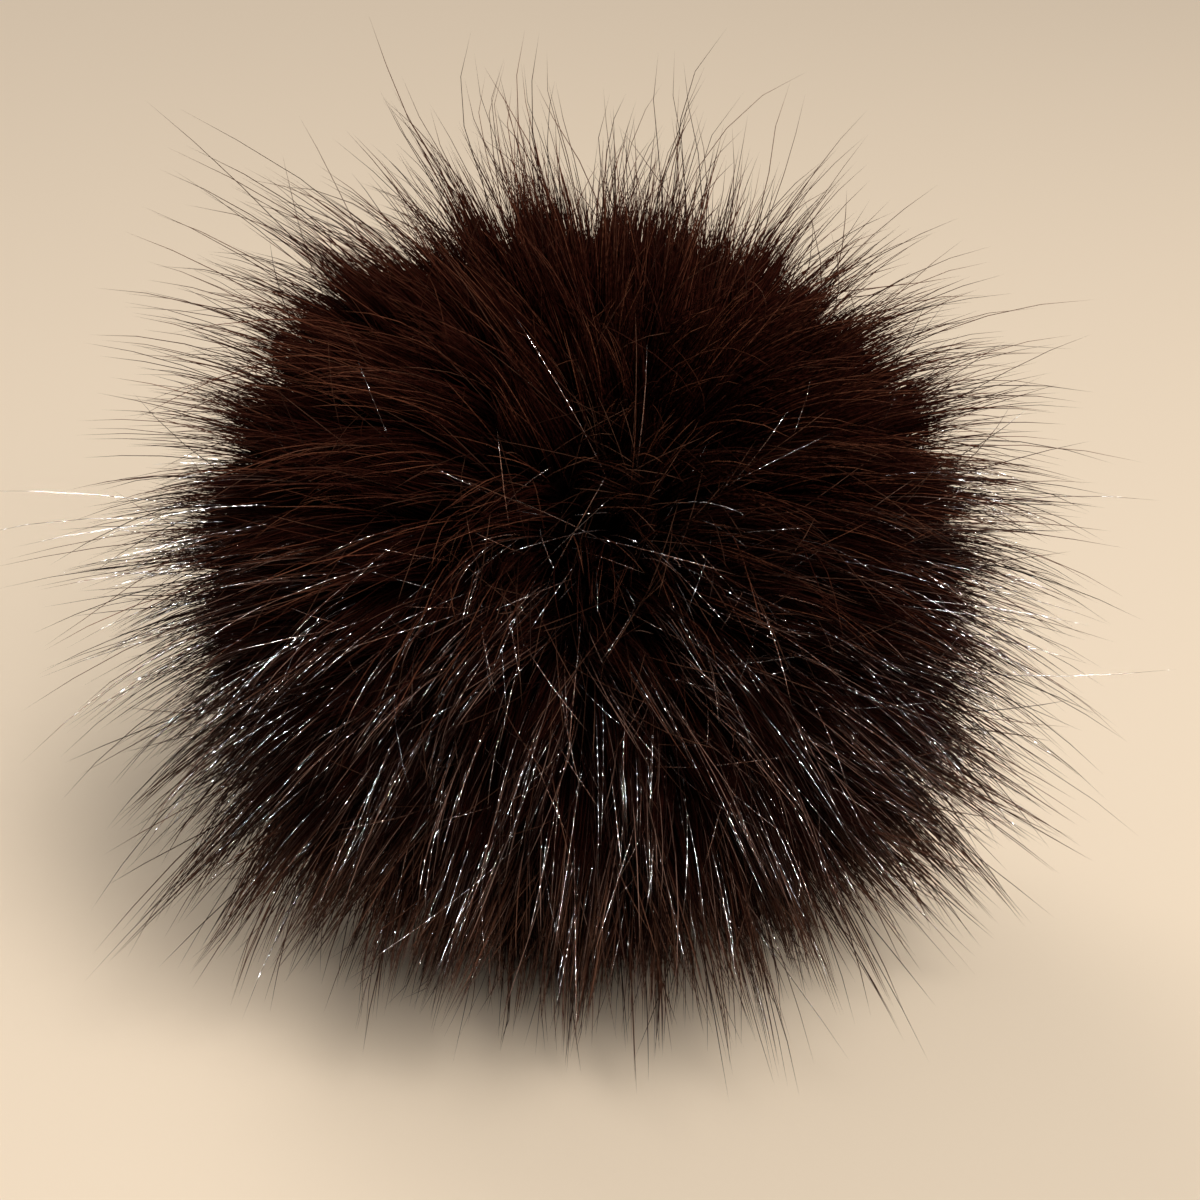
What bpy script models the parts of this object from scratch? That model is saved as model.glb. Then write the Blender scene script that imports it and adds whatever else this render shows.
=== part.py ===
"""A long-pile fur pom pom lying on a table, in metres, +Z up.

The pile is one solid: a plump ball a little wider than it is tall, cut flat where it presses on
the table, whose skin is drawn out into the pointed locks that long hair gathers in. The locks
at the foot of the ball are pushed out by the table and lie along it as a fringe.
"""

import math
import random

import bmesh
import bpy
from mathutils import Vector

# Driving sizes.
PILE_WIDTH = 0.128  # across the tips of the locks
PILE_HEIGHT = 0.108  # from the table to the top tips
FOOT_WIDTH = 0.044  # across the flat foot, before the table pushes its locks outward
PLUMPNESS = 2.4  # power of the ball's side outline; 2 is an ellipse, more is squarer
LOCK_DEPTH = 0.0135  # from the longest locks' tips down to the valleys round them
LOCK_UNEVEN = 0.0060  # how much shorter than the longest a lock may be
LOCK_SWAY = 0.0020  # how far a lock's tip may lean to any side
LOCK_DROOP = 0.0045  # how far the weight of its hair pulls a lock's tip down
FRINGE_HEIGHT = 0.024  # the table still pushes locks out at this height, but no higher
FRINGE_SPREAD = 0.015  # how far it pushes out the locks that lie on it
LOCK_RINGS = 4  # subdivisions of the ball; 4 gives 642 locks
SEED = 7

FUR_COLOR = (0.022, 0.009, 0.007, 1.0)
FUR_ROUGHNESS = 0.55

# The ball's half sizes: the table cuts it where it is FOOT_WIDTH across.
HALF_WIDTH = PILE_WIDTH / 2
REST_SHARE = (1 - (FOOT_WIDTH / PILE_WIDTH) ** PLUMPNESS) ** (1 / PLUMPNESS)
HALF_HEIGHT = PILE_HEIGHT / (1 + REST_SHARE)
CENTRE = Vector((0, 0, HALF_HEIGHT * REST_SHARE))


def clear_scene():
    for obj in list(bpy.data.objects):
        bpy.data.objects.remove(obj, do_unlink=True)


def fur_material():
    material = bpy.data.materials.new("dark_brown_fur")
    material.use_nodes = True
    shader = material.node_tree.nodes["Principled BSDF"]
    shader.inputs["Base Color"].default_value = FUR_COLOR
    shader.inputs["Roughness"].default_value = FUR_ROUGHNESS
    shader.inputs["Metallic"].default_value = 0.0
    return material


def on_ball(direction):
    """The ball's skin in this direction from its centre."""
    level = math.hypot(direction.x, direction.y) / HALF_WIDTH
    upright = abs(direction.z) / HALF_HEIGHT
    reach = (level**PLUMPNESS + upright**PLUMPNESS) ** (-1 / PLUMPNESS)
    return CENTRE + direction * reach


def clearance(point):
    """0 on the table and below it, rising to 1 at FRINGE_HEIGHT."""
    return max(0.0, min(1.0, point.z / FRINGE_HEIGHT))


def push_of_table(point):
    """1 on the table and below it, falling smoothly to 0 at FRINGE_HEIGHT."""
    share = clearance(point)
    return 1 - share * share * (3 - 2 * share)


def lock_tip(direction, rng):
    """The tip of one lock: uneven in length, swayed to a side, pulled down by its own weight
    or pushed out along the table."""
    skin = on_ball(direction)
    push = push_of_table(skin)
    shortness = direction * rng.uniform(0, LOCK_UNEVEN)
    sway = Vector((rng.uniform(-1, 1), rng.uniform(-1, 1), rng.uniform(-1, 1))) * LOCK_SWAY
    sway -= direction * sway.dot(direction)
    outward = Vector((direction.x, direction.y, 0))
    droop = Vector((0, 0, LOCK_DROOP * outward.length))
    return skin + (1 - push) * (sway - shortness - droop) + push * FRINGE_SPREAD * outward


def valley(corners):
    """The low point between three locks."""
    direction = (sum(corners, Vector()) / len(corners) - CENTRE).normalized()
    skin = on_ball(direction)
    return skin - direction * LOCK_DEPTH * math.sqrt(clearance(skin))


def draw_out_locks(mesh, rng):
    """Turns each vertex of the ball into a lock's tip and each face's middle into a valley."""
    for vertex in mesh.verts:
        vertex.co = lock_tip(vertex.co.normalized(), rng)
    valleys = [(face, valley([v.co for v in face.verts])) for face in mesh.faces]
    for face, low in valleys:
        poked = bmesh.ops.poke(mesh, faces=[face])
        poked["verts"][0].co = low


def press_flat(mesh):
    """Cuts the ball off level with the table and closes the cut with one flat face."""
    everything = list(mesh.verts) + list(mesh.edges) + list(mesh.faces)
    cut = bmesh.ops.bisect_plane(
        mesh, geom=everything, plane_co=(0, 0, 0), plane_no=(0, 0, 1), clear_inner=True
    )
    rim = [part for part in cut["geom_cut"] if isinstance(part, bmesh.types.BMEdge)]
    bmesh.ops.contextual_create(mesh, geom=rim)
    bmesh.ops.recalc_face_normals(mesh, faces=list(mesh.faces))


def fit_to_frame(mesh):
    """Scales and shifts the locks a little, so that the ball is exactly as wide and as tall as
    stated, centred over the origin, with the table at z = 0."""
    spans = []
    for axis, wanted in enumerate((PILE_WIDTH, PILE_WIDTH, PILE_HEIGHT)):
        low = min(v.co[axis] for v in mesh.verts)
        high = max(v.co[axis] for v in mesh.verts)
        base = low if axis == 2 else (low + high) / 2
        spans.append((base, wanted / (high - low)))
    for vertex in mesh.verts:
        vertex.co = Vector([(vertex.co[axis] - base) * grow for axis, (base, grow) in enumerate(spans)])


def make_fur_ball(collection):
    shape = bmesh.new()
    bmesh.ops.create_icosphere(shape, subdivisions=LOCK_RINGS, radius=1.0)
    draw_out_locks(shape, random.Random(SEED))
    press_flat(shape)
    fit_to_frame(shape)
    mesh = bpy.data.meshes.new("fur_ball")
    shape.to_mesh(mesh)
    shape.free()
    mesh.materials.append(fur_material())
    ball = bpy.data.objects.new("fur_ball", mesh)
    collection.objects.link(ball)
    return ball


def main():
    clear_scene()
    collection = bpy.data.collections.new("pom_pom")
    bpy.context.scene.collection.children.link(collection)
    make_fur_ball(collection)


main()
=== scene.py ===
# %% [markdown]
# # A faux fur pom pom
#
# The real thing is a circle of long-pile faux fur, gathered and drawn shut round a ball of
# polyester filling. All that shows is the pile: a dense, soft underfur that is nearly black, and
# long, glossy guard hairs in reddish brown that stand out past it. Here it lies on a table,
# which pushes its lowest hair out sideways.
#
# The frame is the plain solid of the pile. It is loaded first, because every piece made below
# replaces it and rides on its body. Blender has a hair system, but what is exported has to be a
# mesh, so every hair here is built as a thin mesh strand, many thousands at a time, with NumPy.

# %% Load the frame
import math

import bmesh
import bpy
import numpy as np
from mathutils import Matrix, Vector


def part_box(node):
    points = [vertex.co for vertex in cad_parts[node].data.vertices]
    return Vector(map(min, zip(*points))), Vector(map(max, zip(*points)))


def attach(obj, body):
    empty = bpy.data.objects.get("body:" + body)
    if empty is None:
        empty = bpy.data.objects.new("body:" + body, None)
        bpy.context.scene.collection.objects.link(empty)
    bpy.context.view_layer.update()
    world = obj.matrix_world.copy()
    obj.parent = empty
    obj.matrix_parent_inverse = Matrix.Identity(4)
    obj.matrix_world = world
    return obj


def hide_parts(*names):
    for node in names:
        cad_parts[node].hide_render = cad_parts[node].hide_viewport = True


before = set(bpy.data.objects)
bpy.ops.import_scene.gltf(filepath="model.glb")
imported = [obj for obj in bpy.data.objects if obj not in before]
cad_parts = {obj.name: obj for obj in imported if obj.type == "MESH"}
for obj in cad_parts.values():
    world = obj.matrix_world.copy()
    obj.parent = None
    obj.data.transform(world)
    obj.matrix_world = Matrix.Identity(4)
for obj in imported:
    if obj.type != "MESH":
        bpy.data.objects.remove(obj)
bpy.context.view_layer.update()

MM = 0.001
LOW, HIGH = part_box("fur_ball")
print("fur ball from", [round(1000 * x, 1) for x in LOW], "to", [round(1000 * x, 1) for x in HIGH])

# %% [markdown]
# ## The dense ball
#
# The hair is densest inside a plump ball, wider than it is high and a little squarer than a
# sphere, as a ball of pile is once it has been brushed and set down. It could be a sculpted
# surface, but a formula is enough: a superellipse, whose power says how square its outline is.
# Everything after this is worked out from a direction: a hair with direction d starts inside the
# ball, some way from its centre, and ends near the ball's skin or beyond it.

# %% The dense ball
DENSE_HALF_WIDTH = 53.2 * MM
DENSE_HALF_HEIGHT = 49.0 * MM
PLUMPNESS = (2.14, 2.8)  # powers of the outline above and below the middle; 2 is an ellipse
CENTRE = np.array([0.0, 0.0, DENSE_HALF_HEIGHT])
UP = np.array([0.0, 0.0, 1.0])
RNG = np.random.default_rng(12)
NO_LENGTH = 1e-12


def unit(vectors):
    return vectors / np.maximum(np.linalg.norm(vectors, axis=-1, keepdims=True), NO_LENGTH)


def skin_radius(directions):
    """How far the skin of the dense ball is from its centre, in each direction."""
    level = np.linalg.norm(directions[:, :2], axis=1) / DENSE_HALF_WIDTH
    upright = np.abs(directions[:, 2]) / DENSE_HALF_HEIGHT
    power = np.where(directions[:, 2] > 0, *PLUMPNESS)
    return (level**power + upright**power) ** (-1 / power)


print("dense ball in mm:", 2000 * DENSE_HALF_WIDTH, "wide,", 2000 * DENSE_HALF_HEIGHT, "high")

# %% [markdown]
# ## Even directions
#
# The hairs of faux fur are knitted into its cloth at an even spacing. Random directions would
# leave bald spots and crowds. A sunflower spiral spreads any number of points evenly over a
# sphere, with no poles or rows, and a little jitter then hides the spiral.


# %% Even directions
def sunflower(count, jitter=0.0):
    """Evenly spread unit vectors, each moved by up to jitter times the usual gap."""
    index = np.arange(count) + 0.5
    height = 1 - 2 * index / count
    turn = index * math.pi * (3 - math.sqrt(5))
    ring = np.sqrt(1 - height**2)
    points = np.stack([ring * np.cos(turn), ring * np.sin(turn), height], axis=1)
    gap = math.sqrt(4 * math.pi / count)
    return unit(points + RNG.normal(size=points.shape) * gap * jitter)


# %% [markdown]
# ## Brushing
#
# A new pom pom is brushed, in broad sweeps, so neighbouring hairs lean alike. The lean could be
# combed in by hand. Here a few slow waves over the ball give it, each with its own sideways push.


# %% Brushing
BRUSH_SWEEPS = 5
SWEEP_WAVES = 3.0  # how many times the lean changes over the ball, in radians per radius
SWEEP_PUSH = 0.08
BRUSH_WAVES = RNG.normal(size=(BRUSH_SWEEPS, 3)) * SWEEP_WAVES
BRUSH_TURNS = RNG.uniform(0, 2 * math.pi, BRUSH_SWEEPS)
BRUSH_PUSHES = RNG.normal(size=(BRUSH_SWEEPS, 3)) * SWEEP_PUSH


def across_root(lean, directions):
    """The part of a lean that is square to the root's own direction."""
    return lean - directions * np.sum(lean * directions, axis=1, keepdims=True)


def brushed(directions):
    """A slowly changing sideways lean, as the brush left it."""
    lean = np.zeros_like(directions)
    for wave, turn, push in zip(BRUSH_WAVES, BRUSH_TURNS, BRUSH_PUSHES):
        lean += np.sin(directions @ wave + turn)[:, None] * push
    return across_root(lean, directions)


# %% [markdown]
# ## Locks
#
# Long hair clings together in pointed locks. Each lock is a root direction with its own lean and
# its own length. A hair belongs to the lock nearest its root, and its outer part is drawn towards
# that lock's middle line. Two sizes of lock are used, because real locks split: large ones make
# the tufts of the outline, and small ones the fine partings within them.

# %% Locks
BIG_LOCK_COUNT = 420
SMALL_LOCK_COUNT = 3000
LOCK_JITTER = 0.35
AT_ONCE = 4096  # directions compared with all locks in one go, to save memory


def make_locks(count, lean, uneven):
    roots = sunflower(count, LOCK_JITTER)
    own = across_root(RNG.normal(size=roots.shape) * lean, roots)
    return {"root": roots, "lean": own + brushed(roots), "length": 1 + RNG.normal(size=count) * uneven}


def nearest_lock(directions, locks):
    chosen = np.empty(len(directions), dtype=int)
    for start in range(0, len(directions), AT_ONCE):
        part = directions[start : start + AT_ONCE]
        chosen[start : start + AT_ONCE] = np.argmax(part @ locks["root"].T, axis=1)
    return chosen


BIG_LOCKS = make_locks(BIG_LOCK_COUNT, lean=0.17, uneven=0.09)
SMALL_LOCKS = make_locks(SMALL_LOCK_COUNT, lean=0.12, uneven=0.02)
print("locks:", len(BIG_LOCKS["root"]), "big,", len(SMALL_LOCKS["root"]), "small")

# %% [markdown]
# ## Lengths
#
# Two things change a hair's length. Hairs in the middle of a lock reach further than those at
# its side, which gives the lock its point. Under the ball the hair is worn and pressed, so it
# is shorter there.

# %% Lengths
LOCK_REACH = math.sqrt(4 / BIG_LOCK_COUNT)  # half the gap between big locks, as an angle
POINT_LENGTH = 1.12
POINT_DROP = 0.3
FOOT_STARTS = 0.35  # how far below the middle the foot of the ball begins, and
FOOT_SPREAD = 0.5  # how much further down it is all underside; the ball's radius is 1


def lowness(directions):
    """0 for a hair above the foot of the ball, rising to 1 underneath it."""
    return np.clip((-directions[:, 2] - FOOT_STARTS) / FOOT_SPREAD, 0, 1)


def pointed(directions, lock_roots):
    aside = np.linalg.norm(directions - lock_roots, axis=1) / LOCK_REACH
    return POINT_LENGTH - POINT_DROP * np.clip(aside, 0, 1)


print("a big lock is", round(2000 * LOCK_REACH * DENSE_HALF_WIDTH, 1), "mm across")

# %% [markdown]
# ## Bending
#
# A hair starts straight out of the cloth and bends over by its own weight and by its lock's
# lean. A physical simulation of this many hairs would take hours. Turning the hair's heading
# little by little from root to tip gives the same curve at once.


# %% Bending
def bent_paths(roots, start, length, bend, steps):
    """Hairs that leave the ball square to it and turn towards root + bend at their tips."""
    share = (np.arange(steps) + 0.5) / steps
    heading = unit(roots[:, None] + share[None, :, None] * bend[:, None])
    base = CENTRE + roots * (skin_radius(roots) * start)[:, None]
    moves = np.cumsum(heading * (length / steps)[:, None, None], axis=1)
    return np.concatenate([base[:, None], base[:, None] + moves], axis=1)


# %% [markdown]
# ## Meeting the table
#
# A hair that would pass through the table is turned along it instead, outward, and keeps its
# length. This makes the fringe round the foot of the ball. Each hair rests at its own small
# height, because it lies on others.

# %% Meeting the table
REST_HEIGHTS = (0.15 * MM, 1.2 * MM)
EXTRA_REST = 0.8 * MM
OUTWARD_PULL = 0.6


def lay_on_table(points, slide):
    """Turns the hairs outward where they meet the table, keeping this share of their length."""
    laid = points.copy()
    count, rings = points.shape[:2]
    rest = RNG.uniform(*REST_HEIGHTS, count) + RNG.exponential(EXTRA_REST, count)
    for ring in range(1, rings):
        step = points[:, ring] - points[:, ring - 1]
        size = np.linalg.norm(step, axis=1)
        here = laid[:, ring - 1] + step
        low = here[:, 2] < rest
        rise = np.where(low, rest - laid[:, ring - 1, 2], step[:, 2])
        rise = np.clip(rise, -size, size)
        outward = unit(step[:, :2] + OUTWARD_PULL * unit(laid[:, ring - 1, :2]) * size[:, None])
        flat = np.sqrt(np.maximum(size**2 - rise**2, 0))
        along = laid[:, ring - 1].copy()
        along[:, :2] += outward * flat[:, None] * slide
        along[:, 2] += rise
        laid[:, ring] = np.where(low[:, None], along, here)
    return laid


# %% [markdown]
# ## The trim and the lean of the crown
#
# The maker holds the finished pom pom and trims it with scissors to a round, so no hair stands
# out much past the rest. The loose crown has then slumped a little to the left. Both are done to
# the finished hairs: long ones are drawn in towards their roots, and high points are moved over.

# %% Trim and lean
CUT_RADIUS = 76.5 * MM
CUT_HEIGHT = 116 * MM
CROWN_LEAN = 4 * MM
CROWN_TOP = 1.2  # the lean stops growing this far above the middle, in half heights


def trimmed(paths):
    """Shortens the hairs that would stand out past the round the ball was cut to."""
    reach = np.linalg.norm(paths[:, :, :2], axis=2).max(axis=1)
    share = np.minimum(1, CUT_RADIUS / reach) * np.minimum(1, CUT_HEIGHT / paths[:, :, 2].max(axis=1))
    return paths[:, :1] + (paths - paths[:, :1]) * (share**2)[:, None, None]


def leaning(paths):
    """Moves the crown to the left, more the higher a point is above the middle."""
    above = np.clip(paths[:, :, 2] / DENSE_HALF_HEIGHT - 1, 0, CROWN_TOP)
    paths[:, :, 0] -= CROWN_LEAN * above**3
    return paths


# %% [markdown]
# ## The path of a hair
#
# This puts the steps together. A hair is bent, then drawn towards the path that the middle hair
# of its small lock takes, then towards that of its big lock. It is drawn in hardly at all at its
# root and fully at its tip, as hair that clings at its ends does.

# %% Path of a hair
CLING_POWER = 1.4  # above 1, the root half of a hair stays free for longer
SMALL_GRIP = 0.55
BIG_GRIP = 0.75


def hair_paths(roots, start, length, steps, weight, stray, hold, slide, worn):
    """Points along each hair, hairs x (steps + 1) x 3.

    start is a share of the skin's radius, weight how far the tip is pulled down, stray how far
    each hair leans by itself, hold how much the locks draw it in, slide how much of a hair
    that meets the table lies along it, and worn how much shorter the hair is under the ball.
    """
    big = nearest_lock(roots, BIG_LOCKS)
    small = nearest_lock(roots, SMALL_LOCKS)
    length = length * BIG_LOCKS["length"][big] * SMALL_LOCKS["length"][small]
    length = length * (1 - worn * lowness(roots)) * pointed(roots, BIG_LOCKS["root"][big])
    sink = -UP * weight
    own = across_root(RNG.normal(size=roots.shape) * stray[:, None], roots)
    paths = bent_paths(roots, start, length, BIG_LOCKS["lean"][big] + own + sink, steps)
    drawn = np.linspace(0, 1, steps + 1)[None, :, None] ** CLING_POWER * hold[:, None, None]
    for locks, chosen, grip in ((SMALL_LOCKS, small, SMALL_GRIP), (BIG_LOCKS, big, BIG_GRIP)):
        middle = bent_paths(locks["root"][chosen], start, length, locks["lean"][chosen] + sink, steps)
        paths = paths + (middle - paths) * drawn * grip
    return leaning(trimmed(lay_on_table(paths, slide)))


# %% [markdown]
# ## Meshes from many strands
#
# One object per hair would be far too slow, so all the strands of a piece are joined in one
# mesh, filled straight from arrays. Its UV map isn't a flat layout of a picture. It gives each
# strand one of a few dozen shades across, and the way from root to tip upward, so a material can
# colour each strand by both.

# %% Joined mesh
SHADES = 48


def joined_mesh(name, points, corners, sizes, shade_and_way):
    mesh = bpy.data.meshes.new(name)
    mesh.vertices.add(len(points))
    mesh.vertices.foreach_set("co", points.astype(np.float32).ravel())
    mesh.loops.add(len(corners))
    mesh.loops.foreach_set("vertex_index", corners.astype(np.int32))
    mesh.polygons.add(len(sizes))
    starts = np.concatenate([[0], np.cumsum(sizes)[:-1]])
    mesh.polygons.foreach_set("loop_start", starts.astype(np.int32))
    mesh.polygons.foreach_set("use_smooth", np.ones(len(sizes), dtype=bool))
    layer = mesh.uv_layers.new(name="OFBake")
    layer.data.foreach_set("uv", shade_and_way.astype(np.float32).ravel())
    mesh.update(calc_edges=True)
    return mesh


# %% [markdown]
# ## The shape of a strand
#
# A hair is far too thin for a fine tube to show its roundness, but a guard hair catches the
# light along its side, so it is a three-sided tube with smooth shading. An underfur hair is a
# narrow ribbon, turned at random about its own length. Both end in a point. The faces of one
# strand are listed once, and the list is repeated for all the others.

# %% Shape of a strand
RIBBON_EDGES = (0.2, 0.8)  # where the sides of a strand lie across its own shade's column


def frames_along(paths):
    """Two unit vectors square to each path at each of its points, at a random turn."""
    forward = unit(np.gradient(paths, axis=1))
    aside = unit(np.cross(forward, unit(RNG.normal(size=(len(paths), 1, 3)))))
    return aside, np.cross(forward, aside)


def strand_faces(rings, sides, corners_each):
    """The quads up one strand and the triangles at its tip, as corner numbers."""
    spans = [(0, 1)] if sides == 2 else [(s, (s + 1) % sides) for s in range(sides)]
    quads = [
        (r * sides + a, r * sides + b, (r + 1) * sides + b, (r + 1) * sides + a)
        for r in range(rings - 2)
        for a, b in spans
    ]
    last = (rings - 2) * sides
    tips = [(last + a, last + b, corners_each - 1) for a, b in spans]
    return quads, tips


def strand_mesh(name, paths, half_widths, sides):
    """Joins strands with this many sides (2 makes ribbons) that end in a point."""
    count, rings = paths.shape[:2]
    first, second = frames_along(paths)
    turns = 2 * math.pi * np.arange(sides) / sides
    ring = np.stack([first * math.cos(a) + second * math.sin(a) for a in turns], axis=2)
    body = paths[:, :-1, None] + ring[:, :-1] * half_widths[:, :-1, None, None]
    each = (rings - 1) * sides + 1
    points = np.concatenate([body.reshape(count, -1, 3), paths[:, -1:]], axis=1).reshape(-1, 3)

    quads, tips = strand_faces(rings, sides, each)
    pattern = np.array([corner for face in quads + tips for corner in face])
    corners = (np.arange(count)[:, None] * each + pattern).ravel()
    sizes = np.tile([4] * len(quads) + [3] * len(tips), count)

    way = np.append(np.repeat(np.arange(rings - 1), sides), rings - 1) / (rings - 1)
    shade = RNG.integers(0, SHADES, count)
    across = np.append(np.tile(np.linspace(*RIBBON_EDGES, sides), rings - 1), 0.5)
    u = (shade[:, None] + across[pattern]) / SHADES
    v = np.broadcast_to(way[pattern], u.shape)
    return joined_mesh(name, points, corners, sizes, np.stack([u, v], axis=2))


# %% [markdown]
# ## Adding a piece
#
# The whole pom pom is one thing that moves as one, so every piece rides on its only body.


# %% Add a piece
def add_piece(mesh, material):
    piece = bpy.data.objects.new(mesh.name, mesh)
    bpy.context.scene.collection.objects.link(piece)
    mesh.materials.append(material)
    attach(piece, "root")
    triangles = sum(len(p.vertices) - 2 for p in mesh.polygons)
    print(f"{mesh.name}: {triangles} triangles")
    return piece


# %% [markdown]
# ## Colours and nodes
#
# Colours are written as sRGB hex values, as they look on a screen. A shader works in linear
# light, so one function turns them over. Another adds a node with its settings, values and
# links, and a third fills in a colour ramp.


# %% Colours and nodes
def linear(hex_colour):
    """An sRGB hex colour as linear red, green, blue and alpha."""
    parts = [int(hex_colour[i : i + 2], 16) / 255 for i in (1, 3, 5)]
    return [p / 12.92 if p <= 0.04045 else ((p + 0.055) / 1.055) ** 2.4 for p in parts] + [1.0]


def add_node(tree, kind, settings=None, values=None, links=None):
    """Adds a node, sets its properties and its sockets' values, and links outputs to it."""
    node = tree.nodes.new(kind)
    for name, value in (settings or {}).items():
        setattr(node, name, value)
    for name, value in (values or {}).items():
        node.inputs[name].default_value = value
    for name, output in (links or {}).items():
        tree.links.new(output, node.inputs[name])
    return node


def set_ramp(node, stops):
    """Gives a colour ramp these (place, hex colour) stops."""
    ramp = node.color_ramp
    while len(ramp.elements) > 1:
        ramp.elements.remove(ramp.elements[-1])
    for number, (place, colour) in enumerate(stops):
        stop = ramp.elements[0] if number == 0 else ramp.elements.new(place)
        stop.position = place
        stop.color = linear(colour)


def per_metre(size):
    """The noise scale that makes features of this size, in metres."""
    return 1 / size


print("a mid grey, linear:", [round(part, 3) for part in linear("#808080")])

# %% [markdown]
# ## The shade of a strand
#
# Faux fur cloth is knitted from a blend of fibres dyed in slightly different shades. Along each
# strand the colour is painted darker at the root, as painted shade deep in the pile, and paler
# towards the tip, as painted light shining through the thin tip. So there are two ramps from
# root to tip, a dark and a light one, and each strand gets its own mix of the two. White noise
# turns the strand's shade number into a random share. A power of that share makes light strands
# rarer.


# %% Shade of a strand
def strand_shade(tree, dark, light, rarity):
    uv = add_node(tree, "ShaderNodeUVMap", {"uv_map": "OFBake"})
    split = add_node(tree, "ShaderNodeSeparateXYZ", links={"Vector": uv.outputs["UV"]})
    # both ramps run root to tip: a dark root of painted shade and a paler tip of painted light
    low = add_node(tree, "ShaderNodeValToRGB", links={"Fac": split.outputs["Y"]})
    high = add_node(tree, "ShaderNodeValToRGB", links={"Fac": split.outputs["Y"]})
    set_ramp(low, dark)
    set_ramp(high, light)
    cell = add_node(
        tree,
        "ShaderNodeMath",
        {"operation": "MULTIPLY"},
        {1: float(SHADES)},
        {0: split.outputs["X"]},
    )
    whole = add_node(tree, "ShaderNodeMath", {"operation": "FLOOR"}, links={0: cell.outputs[0]})
    scatter = add_node(
        tree,
        "ShaderNodeTexWhiteNoise",
        {"noise_dimensions": "1D"},
        links={"W": whole.outputs[0]},
    )
    rarely = add_node(
        tree,
        "ShaderNodeMath",
        {"operation": "POWER"},
        {1: rarity},
        {0: scatter.outputs["Value"]},
    )
    mix = add_node(
        tree,
        "ShaderNodeMix",
        {"data_type": "RGBA"},
        links={0: rarely.outputs[0], 6: low.outputs["Color"], 7: high.outputs["Color"]},
    )
    return mix.outputs[2]


# %% [markdown]
# ## Modacrylic fibre
#
# The fibre is modacrylic, a clear plastic extruded with its dye in it, with an index of about
# 1.53. The eye gets a very dark body colour and a clean white shine on the round side of each
# hair. The shine breaks into beads, because the fibre is crimped and its surface is uneven.
# A crimp could be modelled, at many times the triangles. A bump from noise tilts the surface in
# the same way. The crimp is drawn 0.8 mm long, coarser than the real one, which is too fine to
# show. A second, slower noise makes some stretches smoother than others.

# %% Modacrylic fibre
FIBRE_INDEX = 1.53
CRIMP = 0.8 * MM
CRIMP_DEPTH = 0.5 * MM
GLOSS_PATCH = 10 / 3 * MM
PATCH_EDGES = (0.45, 0.62)  # noise values where a stretch begins to be smooth and is smooth


def fibre_material(name, dark, light, roughness, bead_roughness, shine, rarity):
    """Modacrylic fibre whose shades run between two root-to-tip ramps."""
    material = bpy.data.materials.new(name)
    material.use_nodes = True
    tree = material.node_tree
    shader = tree.nodes["Principled BSDF"]
    shader.inputs["IOR"].default_value = FIBRE_INDEX
    shader.inputs["Metallic"].default_value = 0.0
    shader.inputs["Specular IOR Level"].default_value = shine
    tree.links.new(strand_shade(tree, dark, light, rarity), shader.inputs["Base Color"])
    place = add_node(tree, "ShaderNodeTexCoord")
    patches = add_node(
        tree,
        "ShaderNodeTexNoise",
        values={"Scale": per_metre(GLOSS_PATCH), "Detail": 1.0, "Roughness": 0.5},
        links={"Vector": place.outputs["Object"]},
    )
    gloss = add_node(
        tree,
        "ShaderNodeMapRange",
        {"interpolation_type": "SMOOTHSTEP"},
        {
            "From Min": PATCH_EDGES[0],
            "From Max": PATCH_EDGES[1],
            "To Min": roughness,
            "To Max": bead_roughness,
        },
        {"Value": patches.outputs["Fac"]},
    )
    tree.links.new(gloss.outputs["Result"], shader.inputs["Roughness"])
    crimp = add_node(
        tree,
        "ShaderNodeTexNoise",
        values={"Scale": per_metre(CRIMP), "Detail": 0.0},
        links={"Vector": place.outputs["Object"]},
    )
    dents = add_node(
        tree,
        "ShaderNodeBump",
        values={"Strength": 1.0, "Distance": CRIMP_DEPTH},
        links={"Height": crimp.outputs["Fac"]},
    )
    tree.links.new(dents.outputs["Normal"], shader.inputs["Normal"])
    return material


# %% [markdown]
# ## Backing cloth
#
# Behind the hairs is the dyed knitted cloth they grow from, with the stubble of broken fibres on
# it. Its near-black colour is partly the dark dye and partly painted shade, for how little light
# reaches this deep into the pile. It is matt with no shine, a noise of about 1 mm and a bump. The
# real stubble is finer and would not show.

# %% Backing cloth
STUBBLE = 10 / 9 * MM
STUBBLE_DEPTH = 0.5 * MM
CORE_CLOTH_AND_SHADE = bpy.data.materials.new("dyed_cloth_and_deep_shade")
CORE_CLOTH_AND_SHADE.use_nodes = True
core_tree = CORE_CLOTH_AND_SHADE.node_tree
core_shader = core_tree.nodes["Principled BSDF"]
core_shader.inputs["Roughness"].default_value = 1.0
core_shader.inputs["Specular IOR Level"].default_value = 0.0
core_place = add_node(core_tree, "ShaderNodeTexCoord")
stubble = add_node(
    core_tree,
    "ShaderNodeTexNoise",
    values={"Scale": per_metre(STUBBLE), "Detail": 2.0},
    links={"Vector": core_place.outputs["Object"]},
)
stubble_colour_and_shade = add_node(core_tree, "ShaderNodeValToRGB", links={"Fac": stubble.outputs["Fac"]})
# near black: the dark dye together with painted shade of the deep pile
set_ramp(stubble_colour_and_shade, [(0.3, "#030101"), (0.7, "#0b0404")])
core_tree.links.new(stubble_colour_and_shade.outputs["Color"], core_shader.inputs["Base Color"])
stubble_height = add_node(
    core_tree,
    "ShaderNodeBump",
    values={"Strength": 1.0, "Distance": STUBBLE_DEPTH},
    links={"Height": stubble.outputs["Fac"]},
)
core_tree.links.new(stubble_height.outputs["Normal"], core_shader.inputs["Normal"])
print("backing cloth noise scale:", round(per_metre(STUBBLE)))
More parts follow.
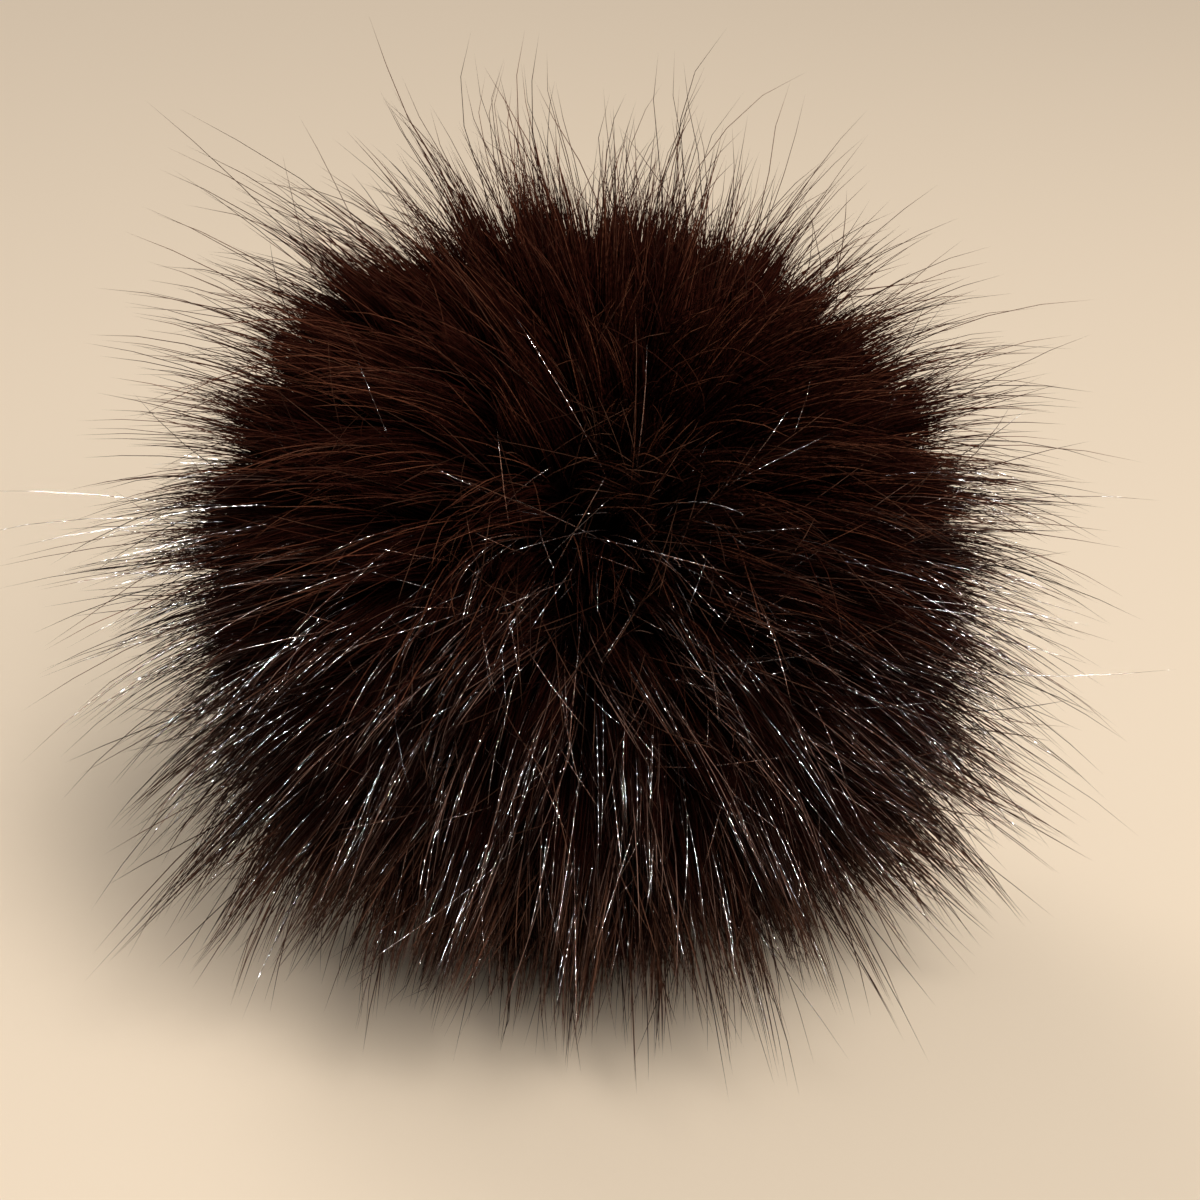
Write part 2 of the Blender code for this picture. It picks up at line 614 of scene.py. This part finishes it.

# %% [markdown]
# ## The core
#
# Between the hairs the eye meets more hair, packed too close to let light through. A dark ball,
# two thirds of the size of the dense one, stands for it, so that no light leaks through the pom
# pom. It replaces the frame's solid; the pile it stands for gives when pressed.

# %% Core
CORE_SHARE = 0.68
CORE_CLEARANCE = 1.5 * MM


def make_core():
    shape = bmesh.new()
    bmesh.ops.create_icosphere(shape, subdivisions=4, radius=1.0)
    for vertex in shape.verts:
        direction = np.array(vertex.co.normalized())
        radius = skin_radius(direction[None])[0]
        point = CENTRE + direction * radius * CORE_SHARE
        point[2] = max(point[2], CORE_CLEARANCE)
        vertex.co = Vector(point)
    mesh = bpy.data.meshes.new("packed_pile")
    shape.to_mesh(mesh)
    shape.free()
    return add_piece(mesh, CORE_CLOTH_AND_SHADE)


# The dark ball's near-black colour is painted shade of the deep pile as well as dark dye.
core = make_core()
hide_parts("fur_ball")

# %% [markdown]
# ## Underfur fibre
#
# The short fibres of the pile are fine and soft. They scatter light instead of shining, so they
# are rough, with hardly any specular. The crown's underfur is coloured a little lighter and redder
# than the rest.

# %% Underfur fibre
UNDERFUR = fibre_material(
    "modacrylic_underfur",
    dark=[(0.0, "#070202"), (0.5, "#110403"), (1.0, "#1b0806")],
    light=[(0.0, "#0c0303"), (0.5, "#1d0a08"), (1.0, "#311610")],
    roughness=0.7,
    bead_roughness=0.55,
    shine=0.04,
    rarity=1.5,
)
CROWN_UNDERFUR = fibre_material(
    "modacrylic_crown_underfur",
    dark=[(0.0, "#0c0303"), (0.5, "#190705"), (1.0, "#260d09")],
    light=[(0.0, "#120504"), (0.5, "#2b100c"), (1.0, "#442219")],
    roughness=0.7,
    bead_roughness=0.55,
    shine=0.04,
    rarity=1.5,
)

# %% [markdown]
# ## Underfur
#
# Short, fine and close, it gives the ball its body. The real one has millions of hairs. Here
# 92,000 ribbons, a little wider than real hairs, cover the ball with no gap. It is made in four
# pieces by height, so that no piece gets too heavy, and the crown fades into the rest hair by
# hair.

# %% Underfur
UNDERFUR_HAIRS = 92000
UNDERFUR_JITTER = 0.5
UNDERFUR_LENGTH = 15.0 * MM
UNDERFUR_UNEVEN = 2.2 * MM
UNDERFUR_HALF_WIDTHS = (0.10, 0.16)  # mm
ROOT_DEPTH = 0.66  # where a hair comes into view, as a share of the skin's radius
CROWN_STARTS = 0.4
CROWN_FADE = 2.5


def underfur(name, roots, material):
    count = len(roots)
    paths = hair_paths(
        roots,
        start=np.full(count, ROOT_DEPTH),
        length=RNG.normal(UNDERFUR_LENGTH / MM, UNDERFUR_UNEVEN / MM, count) * MM,
        steps=3,
        weight=0.22,
        stray=np.abs(RNG.normal(0, 0.16, count)),
        hold=RNG.uniform(0.4, 1.0, count),
        slide=0.05,
        worn=0.0,
    )
    share = np.linspace(0, 1, paths.shape[1])[None]
    widths = RNG.uniform(*UNDERFUR_HALF_WIDTHS, count)[:, None] * MM * (1 - 0.7 * share)
    return add_piece(strand_mesh(name, paths, widths, 2), material)


roots = sunflower(UNDERFUR_HAIRS, UNDERFUR_JITTER)
height = roots[:, 2]
crown = RNG.random(UNDERFUR_HAIRS) < np.clip((height - CROWN_STARTS) * CROWN_FADE, 0, 1)
for name, keep, material in (
    ("underfur_crown", crown, CROWN_UNDERFUR),
    ("underfur_shoulder", ~crown & (height > 0.2), UNDERFUR),
    ("underfur_waist", ~crown & (np.abs(height + 0.15) <= 0.35), UNDERFUR),
    ("underfur_foot", height < -0.5, UNDERFUR),
):
    underfur(name, roots[keep], material)

# %% [markdown]
# ## Guard hair fibre
#
# The long hairs are thicker modacrylic in brown, painted dark at the root as painted shade deep in
# the pile, and paler just short of the tip as painted light shining through it. Most are as dark
# as the underfur and only a few are light, which the rarity sets. Near the crown all of them are a
# warmer, darker brown.

# %% Guard hair fibre
GUARD_FIBRE = fibre_material(
    "modacrylic_guard_hair",
    dark=[(0.0, "#070202"), (0.5, "#100404"), (1.0, "#190907")],
    light=[(0.0, "#1a0b09"), (0.4, "#624840"), (0.8, "#927469"), (1.0, "#785f55")],
    roughness=0.5,
    bead_roughness=0.35,
    shine=0.12,
    rarity=4.6,
)
DARK_GUARD_FIBRE = fibre_material(
    "dark_modacrylic_guard_hair",
    dark=[(0.0, "#100504"), (0.5, "#240d0a"), (1.0, "#321711")],
    light=[(0.0, "#1c0c09"), (0.4, "#522b1f"), (0.8, "#6e4533"), (1.0, "#603c2c")],
    roughness=0.5,
    bead_roughness=0.35,
    shine=0.1,
    rarity=2.2,
)

# %% [markdown]
# ## Guard hairs
#
# Fewer, longer and thicker than the underfur. Most end a little past it and a few reach far out,
# so their lengths follow a gamma curve, which has such a long tail. Most keep to their lock,
# and the rest go their own way and cross the others.

# %% Guard hairs
GUARD_HALF_WIDTHS = (0.06, 0.085)  # mm
SHORTEST_GUARD = 19
FREE_STRAY = 0.6
HELD_STRAY = 0.17
FREE_HOLD = 0.25
GUARD_JITTER = 0.6


def guard_hairs(name, roots, material, length, stray, hold, slide=0.55, thickness=1.0):
    count = len(roots)
    paths = hair_paths(
        roots,
        start=np.full(count, ROOT_DEPTH),
        length=length,
        steps=6,
        weight=0.50,
        stray=np.abs(RNG.normal(0, 1, count)) * stray,
        hold=hold,
        slide=slide,
        worn=0.45,
    )
    share = np.linspace(0, 1, paths.shape[1])[None]
    widths = RNG.uniform(*GUARD_HALF_WIDTHS, count)[:, None] * thickness * MM * (1 - 0.75 * share**3)
    return add_piece(strand_mesh(name, paths, widths, 3), material)


def held_or_free(count, free_share, hold):
    """Most hairs keep to their lock; the rest go their own way."""
    free = RNG.random(count) < free_share
    stray = np.where(free, FREE_STRAY, HELD_STRAY)
    return stray, np.where(free, RNG.uniform(0, FREE_HOLD, count), RNG.uniform(*hold, count))


def guard_lengths(count):
    """Mostly about 25 mm, with a few up to 40 mm."""
    return (SHORTEST_GUARD + np.minimum(RNG.gamma(2.2, 3.4, count), 21)) * MM


GUARD_HAIRS = 9400
roots = sunflower(GUARD_HAIRS, GUARD_JITTER)
dark = RNG.random(GUARD_HAIRS) < np.clip((roots[:, 2] - 0.05) * 2.2, 0, 1)
for name, keep, material, free_share in (
    ("guard_hairs_upper", dark, DARK_GUARD_FIBRE, 0.2),
    ("guard_hairs_lower", ~dark, GUARD_FIBRE, 0.25),
):
    count = keep.sum()
    guard_hairs(
        name, roots[keep], material, guard_lengths(count), *held_or_free(count, free_share, (0.5, 1.0))
    )

# %% [markdown]
# ## Glossy guard hairs
#
# Some guard hairs of the blend are bright fibre, with a smoother skin than the rest. They carry
# the white, beaded glints, mostly below the crown. They get full specular and a low roughness,
# lower still in the smooth stretches.

# %% Glossy guard hairs
GLOSSY_FIBRE = fibre_material(
    "glossy_modacrylic_guard_hair",
    dark=[(0.0, "#0a0302"), (0.5, "#1c0b08"), (1.0, "#28130f")],
    light=[(0.0, "#1e0e0b"), (0.4, "#5c3a2e"), (0.8, "#8c6454"), (1.0, "#745548")],
    roughness=0.26,
    bead_roughness=0.10,
    shine=1.0,
    rarity=1.5,
)
GLOSSY_HAIRS = 2700
roots = sunflower(GLOSSY_HAIRS, GUARD_JITTER)
roots = roots[RNG.random(len(roots)) > np.clip(roots[:, 2] * 2, 0, 1)]
count = len(roots)
glossy_hairs = guard_hairs(
    "glossy_hairs",
    roots,
    GLOSSY_FIBRE,
    guard_lengths(count) * 1.04,
    *held_or_free(count, 0.22, (0.45, 1.0)),
    thickness=0.88,
)

# %% [markdown]
# ## Fringe fibre
#
# The same brown fibre as the guard hairs, for the hairs that leave the pile and are seen one by
# one against the table or across their neighbours. Their roots are painted dark, as painted shade
# deep in the pile, and their tips paler, as painted light shining through the thin tips.

# %% Fringe fibre
FRINGE_FIBRE = fibre_material(
    "fringe_modacrylic_guard_hair",
    dark=[(0.0, "#0a0303"), (0.5, "#190a07"), (1.0, "#2e1912")],
    light=[(0.0, "#160a08"), (0.5, "#432a21"), (1.0, "#6b4c3d")],
    roughness=0.5,
    bead_roughness=0.35,
    shine=0.12,
    rarity=1.2,
)

# %% [markdown]
# ## Loose hairs
#
# Some hairs aren't combed in, and cross the others at any angle. They are thickest on a whorl in
# front, a little above the middle, where the pile parts and lies flat in all directions. Four in
# ten of them are bright fibre.

# %% Loose hairs
WHORL_HEIGHT = math.radians(25)
WHORL_SPREAD = 0.30
WHORL_HAIRS = 380
LOOSE_HAIRS = 800
LOOSE_STRAY = 1.7
LOOSE_LENGTHS = (20, 31)  # mm
WHORL = np.array([0, -math.cos(WHORL_HEIGHT), math.sin(WHORL_HEIGHT)])
whorl_roots = unit(WHORL + RNG.normal(size=(WHORL_HAIRS, 3)) * WHORL_SPREAD)
roots = np.concatenate([sunflower(LOOSE_HAIRS, GUARD_JITTER), whorl_roots])
roots = roots[RNG.random(len(roots)) > np.clip(roots[:, 2] * 2 - 0.8, 0, 0.8)]
shiny = (RNG.random(len(roots)) < 0.4) & (roots[:, 2] < 0.5)
loose_pieces = {}
for name, keep, material in (
    ("loose_hairs", ~shiny, FRINGE_FIBRE),
    ("loose_glossy_hairs", shiny, GLOSSY_FIBRE),
):
    count = keep.sum()
    loose_pieces[name] = guard_hairs(
        name,
        roots[keep],
        material,
        RNG.uniform(*LOOSE_LENGTHS, count) * MM,
        np.full(count, LOOSE_STRAY),
        np.zeros(count),
    )

# %% [markdown]
# ## The fringe on the table
#
# The lowest hairs meet the table and lie out along it as a fringe of dark wisps. They are longer
# than the rest, grow in a band low on the ball, and keep their whole length on the table.

# %% Fringe
FRINGE_HAIRS = 3700
FRINGE_BAND = (-0.85, -0.35)  # heights on a ball of radius 1
FRINGE_LENGTHS = (25, 40)  # mm
height = RNG.uniform(*FRINGE_BAND, FRINGE_HAIRS)
turn = RNG.uniform(0, 2 * math.pi, FRINGE_HAIRS)
ring = np.sqrt(1 - height**2)
roots = np.stack([ring * np.cos(turn), ring * np.sin(turn), height], axis=1)
guard_hairs(
    "fringe_hairs",
    roots,
    FRINGE_FIBRE,
    RNG.uniform(*FRINGE_LENGTHS, FRINGE_HAIRS) * MM,
    *held_or_free(FRINGE_HAIRS, 0.4, (0.7, 1.0)),
    slide=1.0,
    thickness=1.35,
)

# %% [markdown]
# ## The table
#
# A pale, matt painted board. It is plain, so that nothing draws the eye from the fur, and so
# large that its edge never shows close by. Painted wood is a plain matt surface: a rough shader
# with one colour.

# %% Table
TABLE_SIZE = 24
bpy.ops.mesh.primitive_plane_add(size=TABLE_SIZE)
table_top = bpy.context.object
table_top.name = "table_top"
table_top.location.z = 0
table_material = bpy.data.materials.new("pale_table")
table_material.use_nodes = True
table_shader = table_material.node_tree.nodes["Principled BSDF"]
table_shader.inputs["Base Color"].default_value = linear("#e4d8c7")
table_shader.inputs["Roughness"].default_value = 0.8
table_top.data.materials.append(table_material)
print("table is", TABLE_SIZE, "m square")

# %% [markdown]
# ## The room's soft light
#
# Dark fur shows every broad light as a grey veil. So the room and the softboxes light the
# fibres' own colour, but make no shine on them: they are left out of glossy rays.

# %% Room light
world = bpy.data.worlds.new("soft_room")
world.use_nodes = True
background = world.node_tree.nodes["Background"]
background.inputs["Color"].default_value = linear("#e6e1da")
background.inputs["Strength"].default_value = 0.28
bpy.context.scene.world = world
world.cycles_visibility.glossy = False
bpy.context.scene.view_settings.view_transform = "Standard"

# %% [markdown]
# ## Softboxes
#
# One large softbox in front and to the right, one behind to the left so that the back isn't
# black, and a small lamp overhead that brings out the crown.

# %% Softboxes
BALL_MIDDLE = (0, 0, 0.05)


def add_light(name, place, size, power, colour):
    """A round area light that faces the middle of the ball."""
    light = bpy.data.lights.new(name, "AREA")
    light.shape = "DISK"
    light.size = size
    light.energy = power
    light.color = linear(colour)[:3]
    lamp = bpy.data.objects.new(name, light)
    lamp.location = place
    towards_ball = Vector(BALL_MIDDLE) - Vector(place)
    lamp.rotation_euler = towards_ball.to_track_quat("-Z", "Y").to_euler()
    bpy.context.scene.collection.objects.link(lamp)
    return lamp


for name, place, size, power, colour in (
    ("softbox", (1.7, -4.0, 3.0), 2.8, 195.0, "#fff4e8"),
    ("back_softbox", (-2.0, 3.4, 2.8), 2.8, 90.0, "#fff4e8"),
    ("overhead", (0.45, -0.5, 1.1), 0.5, 8.0, "#fff6ea"),
):
    lamp = add_light(name, place, size, power, colour)
    lamp.visible_glossy = False
    print(name, "gives", power, "W from", round(Vector(place).length, 1), "m")

# %% [markdown]
# ## Glints
#
# The white beads on the glossy hairs are small, bright lights seen in the fibre's skin. Four
# small lamps make them. They light only the glossy hairs, and only their shine, so the dark
# fur stays dark.

# %% Glints
GLINT_LAMP_SIZE = 0.05
glints_only = bpy.data.collections.new("lit_for_glints")
glints_only.objects.link(glossy_hairs)
glints_only.objects.link(loose_pieces["loose_glossy_hairs"])
for name, place, power, colour in (
    ("glint_left", (-0.35, -0.10, 0.80), 46.0, "#eaf2ff"),
    ("glint_right", (0.35, -0.20, 0.80), 60.0, "#fff8f0"),
    ("glint_front", (0.02, -0.50, 0.80), 78.0, "#ffffff"),
    ("glint_back", (-0.10, 0.55, 0.70), 70.0, "#fff8f0"),
):
    lamp = add_light(name, place, GLINT_LAMP_SIZE, power, colour)
    lamp.visible_diffuse = False
    lamp.light_linking.receiver_collection = glints_only

# %% [markdown]
# ## The camera
#
# It looks down on the ball at 20 degrees from a hand's reach away, which shows the whorl in
# front and the fringe on the table.

# %% Camera
ELEVATION = math.radians(20)
DISTANCE = 0.335
NEAREST = 0.01
aim = Vector((0.0018, 0.0, 0.0453))
camera_data = bpy.data.cameras.new("camera")
camera_data.lens = 78
camera_data.clip_start = NEAREST
camera = bpy.data.objects.new("camera", camera_data)
towards_camera = Vector((0, -math.cos(ELEVATION), math.sin(ELEVATION)))
camera.location = aim + towards_camera * DISTANCE
camera.rotation_euler = (-towards_camera).to_track_quat("-Z", "Y").to_euler()
bpy.context.scene.collection.objects.link(camera)
bpy.context.scene.camera = camera
